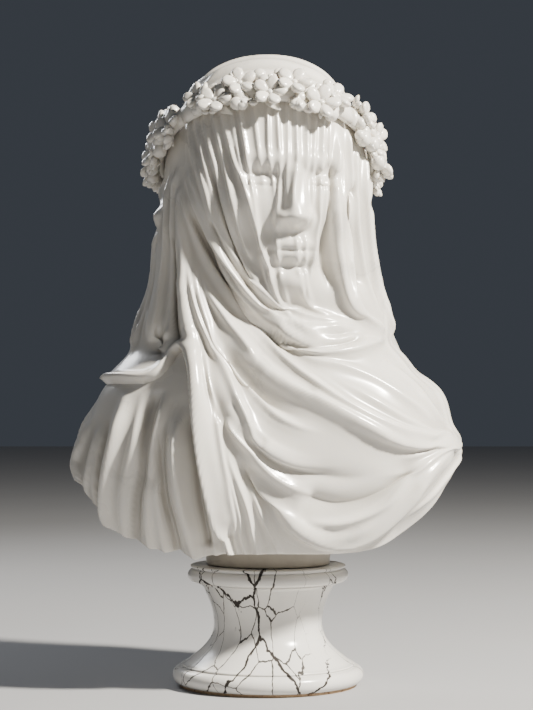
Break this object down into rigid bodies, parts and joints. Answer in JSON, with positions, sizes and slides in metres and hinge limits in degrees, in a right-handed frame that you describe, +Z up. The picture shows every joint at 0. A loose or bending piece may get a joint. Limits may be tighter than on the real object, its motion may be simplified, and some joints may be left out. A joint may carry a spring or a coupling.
{
  "type": "veiled marble bust",
  "caption": "Veiled portrait bust in white marble with a wreath of blossoms round the head, on a turned and veined marble socle that it turns on.",
  "frame": {"origin": "centre of the cork pad's underside, on the axis that the bust turns about", "axes": "+Z up along the rod, -Y to the bust's front, +X to the bust's left hand"},
  "size_m": [0.3887, 0.2449, 0.628],
  "materials": {
    "marble": "polished cream-white marble with faint grey veins",
    "foot_marble": "honed warm grey marble",
    "veined_marble": "polished white stone with dark crackle veins",
    "brass": "plain drawn brass",
    "steel": "zinc-plated steel",
    "slide_plastic": "slippery plastic sheet",
    "cork": "cork sheet"
  },
  "bodies": {
    "socle": {"socle": "veined_marble", "rod_sleeve": "brass", "turning_washer": "slide_plastic", "base_pad": "cork"},
    "bust": {"bust": "marble", "foot": "foot_marble", "rod_socket": "brass", "rod": "steel", "thrust_washer": "steel", "spring_washer": "steel", "clamp_nut": "steel", "lock_nut": "steel", "wreath_front": "marble", "wreath_right": "marble", "wreath_back": "marble", "wreath_left": "marble", "wreath_pins": "brass"}
  },
  "joints": [
    {"name": "bust_turn", "type": "hinge", "parent": "socle", "child": "bust", "pos_m": [0, 0, 0.1205], "axis": [0, 0, 1], "continuous": true}
  ]
}
